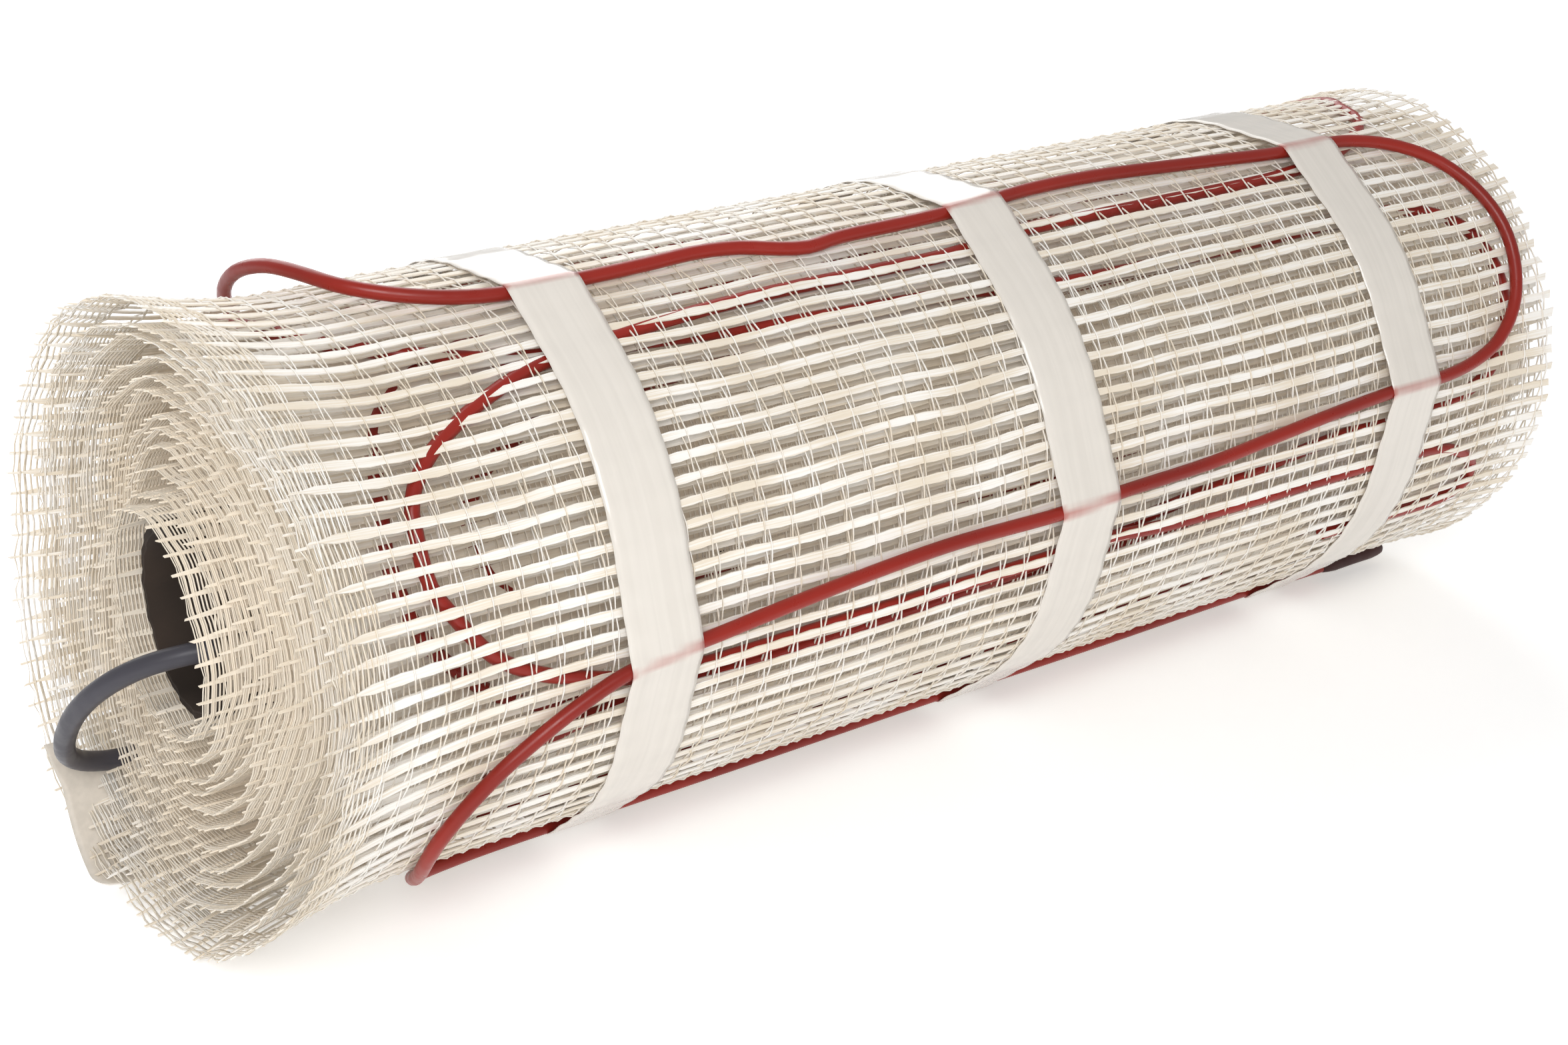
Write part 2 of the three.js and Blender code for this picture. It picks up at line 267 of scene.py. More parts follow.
def mesh_from(name, points, faces, material, smooth=True):
    mesh = bpy.data.meshes.new(name)
    mesh.from_pydata([tuple(p) for p in points], [], faces)
    mesh.materials.append(material)
    mesh.polygons.foreach_set("use_smooth", [smooth] * len(mesh.polygons))
    mesh.update()
    return place(name, mesh)


def loft(rings, closed=True):
    """Points and faces that join rings of equal length, and the last ring to the first if closed."""
    count = len(rings[0])
    points = [p for ring in rings for p in ring]
    faces = []
    for i in range(len(rings) if closed else len(rings) - 1):
        a = i * count
        b = (i + 1) % len(rings) * count
        for j in range(count):
            k = (j + 1) % count
            faces.append((a + j, b + j, b + k, a + k))
    if not closed:
        faces.append(tuple(range(count)))
        faces.append(tuple(reversed(range(len(points) - count, len(points)))))
    return points, faces


def ride_root(piece, slot, *nodes):
    """Every piece rides on the one body and stands for its CAD nodes; its slot is not used."""
    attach(piece, "root")
    if nodes:
        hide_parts(*nodes)
    return piece


def new_material(name, color, roughness, **constants):
    """A material with its shader's constants set on the shader itself."""
    material = bpy.data.materials.new("heating_mat_" + name)
    material.use_nodes = True
    shader = material.node_tree.nodes["Principled BSDF"]
    shader.inputs["Base Color"].default_value = (*color, 1)
    shader.inputs["Roughness"].default_value = roughness
    for key, value in constants.items():
        shader.inputs[key.replace("_", " ")].default_value = value
    return material, Tree(material.node_tree), shader


def mix_colors(nodes, share, first, second):
    inputs = {0: share, 6: (*first, 1), 7: (*second, 1)}
    return nodes.add("ShaderNodeMix", inputs, data_type="RGBA").outputs[2]


def bump(nodes, shader, height, distance, strength=0.5):
    inputs = {"Height": height, "Distance": distance, "Strength": strength}
    node = nodes.add("ShaderNodeBump", inputs)
    nodes.tree.links.new(node.outputs[0], shader.inputs["Normal"])


def fibre_material():
    """Coated glass fibre: streaks run along each yarn, read from the yarn's own attribute; the inner
    turns get painted shade, and the whole mesh a faint painted glow that is strongest on the inner
    turns.
    """
    settings = bpy.context.scene.mat_looks
    material, nodes, shader = new_material(
        "glass_mesh", settings.mesh_color, 0.5, Specular_IOR_Level=0.35)
    fibre = nodes.add("ShaderNodeAttribute", attribute_name="fibre").outputs["Vector"]
    x, y, z = nodes.split(fibre)
    stretched = nodes.vector(nodes.math("MULTIPLY", x, 25.0), nodes.math("MULTIPLY", y, 2200.0),
                             nodes.math("MULTIPLY", z, 1500.0))
    streaks = nodes.add("ShaderNodeTexNoise", {"Vector": stretched, "Scale": 1.0, "Detail": 1.0})
    patches = nodes.add("ShaderNodeTexNoise", {"Vector": fibre, "Scale": 38.0, "Detail": 0.0})
    share = nodes.math("ADD", nodes.math("MULTIPLY", streaks.outputs[0], 0.55),
                       nodes.math("MULTIPLY", patches.outputs[0], 0.45))
    share = nodes.ramp(share, 0.36, 0.64)
    where = nodes.add("ShaderNodeTexCoord").outputs["Object"]
    x, y, z = nodes.split(where)
    section = nodes.vector(0.0, y, nodes.math("SUBTRACT", z, AXIS_HEIGHT))
    length = nodes.add("ShaderNodeVectorMath", {0: section}, operation="LENGTH")
    from_axis = length.outputs["Value"]
    # Painted shade: towards the axis the mesh is mixed further into its shade colour, standing for the
    # shade inside the roll.
    inner_painted_light = nodes.ramp(from_axis, 0.088, 0.062)
    share = nodes.math("MULTIPLY", share, nodes.math("MULTIPLY_ADD", inner_painted_light, -0.75, 1.0))
    color = mix_colors(nodes, share, settings.mesh_streak_and_painted_shade, settings.mesh_color)
    nodes.tree.links.new(color, shader.inputs["Base Color"])
    # Painted glow: the mesh glows faintly everywhere and more towards the axis, standing for light
    # scattered between the turns, though it is no lamp.
    shader.inputs["Emission Color"].default_value = (1.0, 0.93, 0.84, 1)
    painted_glow = nodes.math("MULTIPLY_ADD", inner_painted_light, 0.06, 0.02)
    nodes.tree.links.new(painted_glow, shader.inputs["Emission Strength"])
    bump(nodes, shader, streaks.outputs[0], 0.0002, 0.45)
    return material


def sheath_material(name, color, roughness, coat):
    """A cable's extruded sheath: slight scuffs and a fine, uneven gloss."""
    material, nodes, shader = new_material(name, color, roughness, Coat_Weight=coat,
                                           Coat_Roughness=0.25, Specular_IOR_Level=0.3)
    where = nodes.add("ShaderNodeTexCoord").outputs["Object"]
    scuffs = nodes.add("ShaderNodeTexNoise", {"Vector": where, "Scale": 220.0, "Detail": 3.0})
    broad = nodes.add("ShaderNodeTexNoise", {"Vector": where, "Scale": 18.0, "Detail": 1.0})
    darker = tuple(c * 0.78 for c in color)
    tint = mix_colors(nodes, nodes.ramp(broad.outputs[0], 0.35, 0.65), darker, color)
    nodes.tree.links.new(tint, shader.inputs["Base Color"])
    uneven = nodes.ramp(scuffs.outputs[0], 0.3, 0.7, roughness - 0.06, roughness + 0.1)
    nodes.tree.links.new(uneven, shader.inputs["Roughness"])
    bump(nodes, shader, scuffs.outputs[0], 0.0001, 0.2)
    return material


def film_material():
    """Milky clear packing film, with faint streaks along the way it was wound."""
    settings = bpy.context.scene.mat_looks
    material, nodes, shader = new_material("film_tape", settings.film_color, 0.22,
                                           Coat_Weight=0.5, Coat_Roughness=0.08)
    where = nodes.add("ShaderNodeTexCoord").outputs["Object"]
    x, y, z = nodes.split(where)
    across = nodes.vector(nodes.math("MULTIPLY", x, 420.0), nodes.math("MULTIPLY", y, 14.0),
                          nodes.math("MULTIPLY", z, 14.0))
    streaks = nodes.add("ShaderNodeTexNoise", {"Vector": across, "Scale": 1.0, "Detail": 2.0})
    creases = nodes.add("ShaderNodeTexNoise", {"Vector": where, "Scale": 160.0, "Detail": 2.0})
    alpha = nodes.ramp(streaks.outputs[0], 0.3, 0.7, settings.film_cover - 0.03,
                       settings.film_cover + 0.03)
    nodes.tree.links.new(alpha, shader.inputs["Alpha"])
    touch = nodes.add("ShaderNodeAttribute", attribute_name="touch").outputs["Fac"]
    color = mix_colors(nodes, touch, settings.film_color, (0.55, 0.19, 0.16))
    nodes.tree.links.new(color, shader.inputs["Base Color"])
    bump(nodes, shader, creases.outputs[0], 0.0004, 0.25)
    return material


def cardboard_material():
    """Winding tube, painted far darker than brown cardboard as shade for its bore: spiral ply seam and
    fibres.
    """
    settings = bpy.context.scene.mat_looks
    material, nodes, shader = new_material("cardboard", settings.tube_painted_shade_color, 0.85)
    where = nodes.add("ShaderNodeTexCoord").outputs["Object"]
    x, y, z = nodes.split(where)
    angle = nodes.math("ARCTAN2", y, nodes.math("SUBTRACT", z, AXIS_HEIGHT))
    spiral = nodes.math("ADD", nodes.math("MULTIPLY", x, 11.0),
                        nodes.math("DIVIDE", angle, 2 * math.pi))
    seam = nodes.ramp(nodes.math("FRACT", spiral), 0.0, 0.03)
    fibres = nodes.add("ShaderNodeTexNoise", {"Vector": where, "Scale": 300.0, "Detail": 4.0})
    blotches = nodes.add("ShaderNodeTexNoise", {"Vector": where, "Scale": 45.0, "Detail": 2.0})
    share = nodes.math("MULTIPLY", nodes.ramp(blotches.outputs[0], 0.3, 0.7), seam)
    dark = tuple(c * 0.6 for c in settings.tube_painted_shade_color)
    color = mix_colors(nodes, share, dark, settings.tube_painted_shade_color)
    nodes.tree.links.new(color, shader.inputs["Base Color"])
    height = nodes.math("ADD", nodes.math("MULTIPLY", fibres.outputs[0], 0.5), seam)
    bump(nodes, shader, height, 0.0003, 0.6)
    return material


def paper_material():
    """Bare label paper with a faint mottle."""
    settings = bpy.context.scene.mat_looks
    material, nodes, shader = new_material("paper_label", settings.label_color, 0.6)
    where = nodes.add("ShaderNodeTexCoord").outputs["Object"]
    mottle = nodes.add("ShaderNodeTexNoise", {"Vector": where, "Scale": 350.0, "Detail": 4.0})
    dark = tuple(c * 0.9 for c in settings.label_color)
    color = mix_colors(nodes, nodes.ramp(mottle.outputs[0], 0.3, 0.7), dark, settings.label_color)
    nodes.tree.links.new(color, shader.inputs["Base Color"])
    bump(nodes, shader, mottle.outputs[0], 0.0001, 0.3)
    return material


def cylinder_along(nodes, sides, segments, layout):
    """A capped cylinder of one unit, with its own coordinates set by layout."""
    inputs = {"Vertices": sides, "Side Segments": segments, "Radius": 1.0, "Depth": 1.0}
    cylinder = nodes.add("GeometryNodeMeshCylinder", inputs).outputs["Mesh"]
    x, y, z = nodes.split(nodes.add("GeometryNodeInputPosition").outputs[0])
    inputs = {"Geometry": cylinder, "Position": layout(x, y, z)}
    return nodes.add("GeometryNodeSetPosition", inputs).outputs[0]


def woven_along(nodes, given, z):
    """How far along the turn a yarn's point lies, and the wave of its weaving there."""
    pitch = nodes.math("DIVIDE", given["Length"], given["Weft Count"])
    along = nodes.math("MULTIPLY", nodes.math("ADD", z, 0.5), given["Length"])
    row = nodes.math("SUBTRACT", nodes.math("DIVIDE", along, pitch), 0.5)
    return along, nodes.math("COSINE", nodes.math("MULTIPLY", row, math.pi))


def repeated(nodes, yarn, line, **inputs):
    """Copies of a yarn on a line of points, as plain mesh."""
    points = nodes.add("GeometryNodeMeshLine", line).outputs[0]
    inputs = {"Points": points, "Instance": yarn, **inputs}
    placed = nodes.add("GeometryNodeInstanceOnPoints", inputs).outputs[0]
    return nodes.add("GeometryNodeRealizeInstances", {0: placed}).outputs[0]


def wefts(nodes, given):
    """Flat ribbons across the mat, drawn in where the warp pairs cross them."""
    def layout(x, y, z):
        along = nodes.math("MULTIPLY", z, PAIR_COUNT * PAIR_PITCH)
        phase = nodes.math("MULTIPLY", along, 2 * math.pi / PAIR_PITCH)
        pinch = nodes.math("MULTIPLY_ADD", nodes.math("COSINE", phase), -0.1, 0.95)
        narrow = nodes.ramp(along, -0.2475, given["Narrow From"], 0.22, 1.0)
        half = nodes.math("MULTIPLY", nodes.math("MULTIPLY", given["Ribbon Width"], 0.5), narrow)
        side = nodes.math("ADD", x, y)
        across = nodes.math("MULTIPLY", nodes.math("MULTIPLY", side, half), pinch)
        top = nodes.math("SUBTRACT", x, y)
        up = nodes.math("MULTIPLY", top, nodes.math("MULTIPLY", given["Ribbon Thickness"], 0.5))
        return nodes.vector(along, across, up)

    ribbon = cylinder_along(nodes, 4, given["Weft Segments"], layout)
    pitch = nodes.math("DIVIDE", given["Length"], given["Weft Count"])
    start = nodes.vector(0.0, nodes.math("MULTIPLY", pitch, 0.5), 0.0)
    rows = {"Count": given["Weft Count"], "Start Location": start,
            "Offset": nodes.vector(0.0, pitch, 0.0)}
    width = nodes.add("FunctionNodeRandomValue", {2: 0.88, 3: 1.12, "Seed": given["Seed"]})
    return repeated(nodes, ribbon, rows, Scale=nodes.vector(1.0, width.outputs[1], 1.0))


def warps(nodes, given):
    """Pairs of thin yarns round the roll, one over and one under each weft in turn."""
    yarns = []
    for side in (-1, 1):
        def layout(x, y, z):
            along, wave = woven_along(nodes, given, z)
            crimp = nodes.math("MULTIPLY", wave, nodes.math("MULTIPLY", given["Crimp"], side))
            flat = nodes.math("MULTIPLY", given["Lift"], side)
            thick = nodes.math("MULTIPLY", given["Yarn Size"], 0.5)
            across = nodes.math("MULTIPLY_ADD", y, thick,
                                nodes.math("MULTIPLY", given["Pair Gap"], side / 2))
            up = nodes.math("MULTIPLY_ADD", x, thick, nodes.math("ADD", crimp, flat))
            return nodes.vector(across, along, up)
        yarns.append(cylinder_along(nodes, given["Warp Sides"], given["Warp Segments"], layout))
    join = nodes.add("GeometryNodeJoinGeometry")
    for yarn in yarns:
        nodes.tree.links.new(yarn, join.inputs[0])
    first = -(PAIR_COUNT - 1) / 2 * PAIR_PITCH
    columns = {"Count": PAIR_COUNT, "Start Location": (first, 0, 0), "Offset": (PAIR_PITCH, 0, 0)}
    return repeated(nodes, join.outputs[0], columns)


def selvedge(nodes, given):
    """Single yarns close together along the near edge."""
    def layout(x, y, z):
        along, wave = woven_along(nodes, given, z)
        thick = nodes.math("MULTIPLY", given["Yarn Size"], 0.5)
        up = nodes.math("MULTIPLY_ADD", x, thick, nodes.math("MULTIPLY", wave, given["Crimp"]))
        return nodes.vector(nodes.math("MULTIPLY", y, thick), along, up)

    yarn = cylinder_along(nodes, given["Warp Sides"], given["Warp Segments"], layout)
    gap = nodes.math("DIVIDE", EDGE_WIDTH, nodes.math("SUBTRACT", given["Edge Yarns"], 1.0))
    columns = {"Count": given["Edge Yarns"], "Start Location": (EDGE_YARN, 0, 0),
               "Offset": nodes.vector(gap, 0.0, 0.0)}
    return repeated(nodes, yarn, columns)


def store_fibre(nodes, geometry, lengthways):
    """Keeps each yarn's own coordinates, first along the yarn, for the material."""
    x, y, z = nodes.split(nodes.add("GeometryNodeInputPosition").outputs[0])
    value = nodes.vector(x, y, z) if lengthways else nodes.vector(y, x, z)
    inputs = {"Geometry": geometry, "Name": "fibre", "Value": value}
    node = nodes.add("GeometryNodeStoreNamedAttribute", inputs, data_type="FLOAT_VECTOR")
    return node.outputs[0]


def ease_flat(nodes, geometry, given):
    """Drifts the weave a little in its own plane, and leaves the ribbons' ends uneven."""
    position = nodes.add("GeometryNodeInputPosition").outputs[0]
    x, y, z = nodes.split(position)
    seed = nodes.math("MULTIPLY", given["Seed"], 3.7)
    drift = nodes.noise(nodes.vector(x, y, seed), 16.0)
    sway = nodes.noise(nodes.vector(y, x, nodes.math("ADD", seed, 50.0)), 11.0)
    fringe = nodes.noise(nodes.vector(0.0, nodes.math("MULTIPLY", y, 900.0), seed), 1.0)
    edge = nodes.ramp(nodes.math("ABSOLUTE", x), 0.2468, 0.2512)
    pull = nodes.math("MULTIPLY", nodes.math("MULTIPLY_ADD", fringe, 0.006, -0.0013), edge)
    outward = nodes.math("MULTIPLY", nodes.math("SIGN", x), pull)
    offset = nodes.vector(
        nodes.math("ADD", nodes.math("MULTIPLY", sway, 0.004), outward),
        nodes.math("MULTIPLY", drift, 0.0055), 0.0)
    inputs = {"Geometry": geometry, "Offset": offset}
    return nodes.add("GeometryNodeSetPosition", inputs).outputs[0]


def wind(nodes, geometry, given):
    """Winds the flat weave round the roll: flared and skewed at its near end, eased everywhere."""
    x, y, z = nodes.split(nodes.add("GeometryNodeInputPosition").outputs[0])
    share = nodes.math("DIVIDE", y, given["Length"])
    angle = nodes.math("MULTIPLY_ADD", share, 2 * math.pi, math.radians(TAIL_ANGLE - 360))
    cosine = nodes.math("COSINE", angle)
    sine = nodes.math("SINE", angle)
    stepped = nodes.ramp(share, 0.0, 0.095, given["Drop"], 0.0)
    near = nodes.math("MULTIPLY_ADD", x, -1 / 0.05, -0.201 / 0.05, clamp=True)
    far = nodes.math("MULTIPLY_ADD", x, 1 / 0.03, -0.221 / 0.03, clamp=True)
    flare = nodes.math(
        "ADD", nodes.math("MULTIPLY", nodes.math("POWER", near, 1.7), given["Near Flare"]),
        nodes.math("MULTIPLY", nodes.math("POWER", far, 1.7), given["Far Flare"]))
    seed = nodes.math("MULTIPLY", given["Seed"], 1.9)
    around = nodes.vector(nodes.math("MULTIPLY", x, 8.0),
                          nodes.math("MULTIPLY_ADD", cosine, 1.8, seed),
                          nodes.math("MULTIPLY", sine, 1.8))
    ends = nodes.ramp(nodes.math("ABSOLUTE", x), 0.15, 0.25)
    looseness = nodes.math("ADD", given["Wobble"], nodes.math("MULTIPLY", ends, given["End Wobble"]))
    wobble = nodes.math("MULTIPLY", nodes.noise(around, 1.0, 2.0), looseness)
    radius = nodes.math("SUBTRACT", given["Radius"], stepped)
    radius = nodes.math("ADD", radius, nodes.math("ADD", flare, wobble))
    height = nodes.math("MULTIPLY_ADD", radius, sine, AXIS_HEIGHT)
    height = nodes.math("MAXIMUM", height, 0.0011)
    height = nodes.math("ADD", height, nodes.math("MULTIPLY", z, sine))
    depth = nodes.math("MULTIPLY", nodes.math("ADD", radius, z), nodes.math("MULTIPLY", cosine, -1.0))
    reach = nodes.ramp(x, -0.25, -0.08, 1.0, 0.0)
    lean = nodes.math("MULTIPLY", nodes.math("MULTIPLY_ADD", sine, 0.24, cosine), given["Skew"])
    under = nodes.math("MULTIPLY", nodes.math("MAXIMUM", nodes.math("MULTIPLY", sine, -1.0), 0.0),
                       given["Bottom Reach"])
    skew = nodes.math("MULTIPLY", nodes.math("SUBTRACT", lean, under), reach)
    along = nodes.math("ADD", nodes.math("ADD", x, given["Edge Shift"]), skew)
    inputs = {"Geometry": geometry, "Position": nodes.vector(along, depth, height)}
    return nodes.add("GeometryNodeSetPosition", inputs).outputs[0]


def turn_tree():
    """The tree that weaves and winds one turn of the mat."""
    number, whole = "NodeSocketFloat", "NodeSocketInt"
    nodes, given = geometry_tree("Wound Turn", [
        ("Radius", number, 0.0886), ("Length", number, 0.56), ("Drop", number, 0.0049),
        ("Near Flare", number, 0.0), ("Far Flare", number, 0.0), ("Edge Shift", number, 0.0),
        ("Skew", number, 0.0), ("Bottom Reach", number, 0.0),
        ("Wobble", number, 0.001), ("End Wobble", number, 0.002),
        ("Narrow From", number, -0.234), ("Edge Yarns", whole, 8),
        ("Weft Count", whole, 50), ("Weft Segments", whole, 51),
        ("Warp Segments", whole, 60), ("Warp Sides", whole, 3), ("Ribbon Width", number, 0.0023),
        ("Ribbon Thickness", number, 0.0006), ("Yarn Size", number, 0.00045),
        ("Pair Gap", number, 0.0017), ("Crimp", number, 0.0), ("Lift", number, 0.0),
        ("Seed", whole, 1), ("Material", "NodeSocketMaterial", None)])
    join = nodes.add("GeometryNodeJoinGeometry")
    for yarns in (warps(nodes, given), selvedge(nodes, given)):
        yarns = nodes.add("GeometryNodeSetShadeSmooth", {0: yarns}).outputs[0]
        nodes.tree.links.new(store_fibre(nodes, yarns, False), join.inputs[0])
    ribbons = nodes.add("GeometryNodeSetShadeSmooth", {0: wefts(nodes, given), 2: False}).outputs[0]
    nodes.tree.links.new(store_fibre(nodes, ribbons, True), join.inputs[0])
    geometry = wind(nodes, ease_flat(nodes, join.outputs[0], given), given)
    geometry = nodes.add("GeometryNodeRealizeInstances", {0: geometry}).outputs[0]
    inputs = {"Geometry": geometry, "Material": given["Material"]}
    geometry = nodes.add("GeometryNodeSetMaterial", inputs).outputs[0]
    nodes.add("NodeGroupOutput", {0: geometry})
    return nodes.tree


def tube_tree():
    """The tree that gives a line of points its round section."""
    nodes, given = geometry_tree("Round Section", [
        ("Radius", "NodeSocketFloat", 0.00225), ("Sides", "NodeSocketInt", 12),
        ("Material", "NodeSocketMaterial", None)])
    line = nodes.add("GeometryNodeMeshToCurve", {0: given["Geometry"]}).outputs[0]
    section = nodes.add("GeometryNodeCurvePrimitiveCircle",
                        {"Resolution": given["Sides"], "Radius": given["Radius"]}).outputs[0]
    inputs = {"Curve": line, "Profile Curve": section, "Fill Caps": True}
    geometry = nodes.add("GeometryNodeCurveToMesh", inputs).outputs[0]
    geometry = nodes.add("GeometryNodeSetShadeSmooth", {0: geometry}).outputs[0]
    geometry = nodes.add("GeometryNodeRealizeInstances", {0: geometry}).outputs[0]
    inputs = {"Geometry": geometry, "Material": given["Material"]}
    geometry = nodes.add("GeometryNodeSetMaterial", inputs).outputs[0]
    nodes.add("NodeGroupOutput", {0: geometry})
    return nodes.tree


def tube_along(name, line, radius, material, sides=12):
    """A round tube that follows a line of points."""
    mesh = bpy.data.meshes.new(name + "_line")
    mesh.from_pydata([tuple(p) for p in line], [(i, i + 1) for i in range(len(line) - 1)], [])
    tree = bpy.data.node_groups.get("Round Section") or tube_tree()
    return bake(name, mesh, tree, {"Radius": radius, "Sides": sides, "Material": material})


def material_of(name, make):
    """The material of this name, made when it is first asked for."""
    return bpy.data.materials.get("heating_mat_" + name) or make()


def grey_lead():
    looks = bpy.context.scene.mat_looks
    return material_of("grey_lead", lambda: sheath_material("grey_lead", looks.lead_color, 0.42, 0.1))


def red_cable():
    looks = bpy.context.scene.mat_looks
    return material_of("red_cable", lambda: sheath_material("red_cable", looks.cable_color, 0.33, 0.08))


class MatSizes(bpy.types.PropertyGroup):
    ribbon_width: bpy.props.FloatProperty(
        name="Ribbon width", description="Width of the mesh's flat crossways yarns",
        default=2.8 * MM, subtype="DISTANCE", unit="LENGTH")
    yarn_size: bpy.props.FloatProperty(
        name="Yarn size", description="Thickness of the mesh's paired lengthways yarns",
        default=0.68 * MM, subtype="DISTANCE", unit="LENGTH")
    turn_count: bpy.props.IntProperty(
        name="Turns", description="Turns of mesh on the tube", default=12, min=2)
    turn_pitch: bpy.props.FloatProperty(
        name="Turn pitch", description="Distance from one turn to the next",
        default=4.9 * MM, subtype="DISTANCE", unit="LENGTH")
    cable_diameter: bpy.props.FloatProperty(
        name="Cable diameter", description="Outside of the heating cable",
        default=4.5 * MM, subtype="DISTANCE", unit="LENGTH")
    lead_diameter: bpy.props.FloatProperty(
        name="Lead diameter", description="Outside of the supply lead",
        default=6.5 * MM, subtype="DISTANCE", unit="LENGTH")
    tape_width: bpy.props.FloatProperty(
        name="Tape width", description="Width of the film tapes",
        default=24 * MM, subtype="DISTANCE", unit="LENGTH")


class MatLooks(bpy.types.PropertyGroup):
    mesh_color: bpy.props.FloatVectorProperty(
        name="Mesh", description="Lit colour of the mesh", subtype="COLOR", size=3,
        default=(0.90, 0.87, 0.82))
    # The colour between the streaks, and also the painted shade that the inner turns are mixed towards
    mesh_streak_and_painted_shade: bpy.props.FloatVectorProperty(
        name="Mesh shade", description="Colour of the mesh between its streaks",
        subtype="COLOR", size=3, default=(0.76, 0.67, 0.54))
    cable_color: bpy.props.FloatVectorProperty(
        name="Heating cable", description="Colour of the heating cable's sheath",
        subtype="COLOR", size=3, default=(0.29, 0.018, 0.010))
    lead_color: bpy.props.FloatVectorProperty(
        name="Supply lead", description="Colour of the supply lead's sheath",
        subtype="COLOR", size=3, default=(0.065, 0.062, 0.076))
    film_color: bpy.props.FloatVectorProperty(
        name="Film", description="Colour of the milky film tapes", subtype="COLOR", size=3,
        default=(0.86, 0.81, 0.74))
    film_cover: bpy.props.FloatProperty(
        name="Film cover", description="How much the film hides", default=0.8, min=0, max=1,
        subtype="FACTOR")
    # Painted shade: far darker than cardboard, so that the bore looks dark
    tube_painted_shade_color: bpy.props.FloatVectorProperty(
        name="Tube", description="Colour of the cardboard tube", subtype="COLOR", size=3,
        default=(0.035, 0.021, 0.013))
    label_color: bpy.props.FloatVectorProperty(
        name="Label", description="Colour of the bare paper label", subtype="COLOR", size=3,
        default=(0.70, 0.64, 0.56))


class MAT_OT_camera(bpy.types.Operator):
    """Adds the camera at the photograph's viewing angle"""
    bl_idname = "heating_mat.camera"
    bl_label = "Camera"

    def execute(self, context):
        yaw, pitch = 0.968057, 0.410340
        data = bpy.data.cameras.new("camera")
        data.sensor_width = 36
        data.lens = 53.57
        data.clip_start = 0.01
        camera = bpy.data.objects.new("camera", data)
        context.scene.collection.objects.link(camera)
        forward = Vector((math.cos(yaw) * math.cos(pitch), math.sin(yaw) * math.cos(pitch),
                          -math.sin(pitch)))
        right = Vector((math.sin(yaw), -math.cos(yaw), 0))
        up = right.cross(forward)
        turned = Matrix((right, up, -forward)).transposed().to_4x4()
        camera.matrix_world = Matrix.Translation((-0.45009, -0.60113, 0.39136)) @ turned
        context.scene.camera = camera
        return {"FINISHED"}


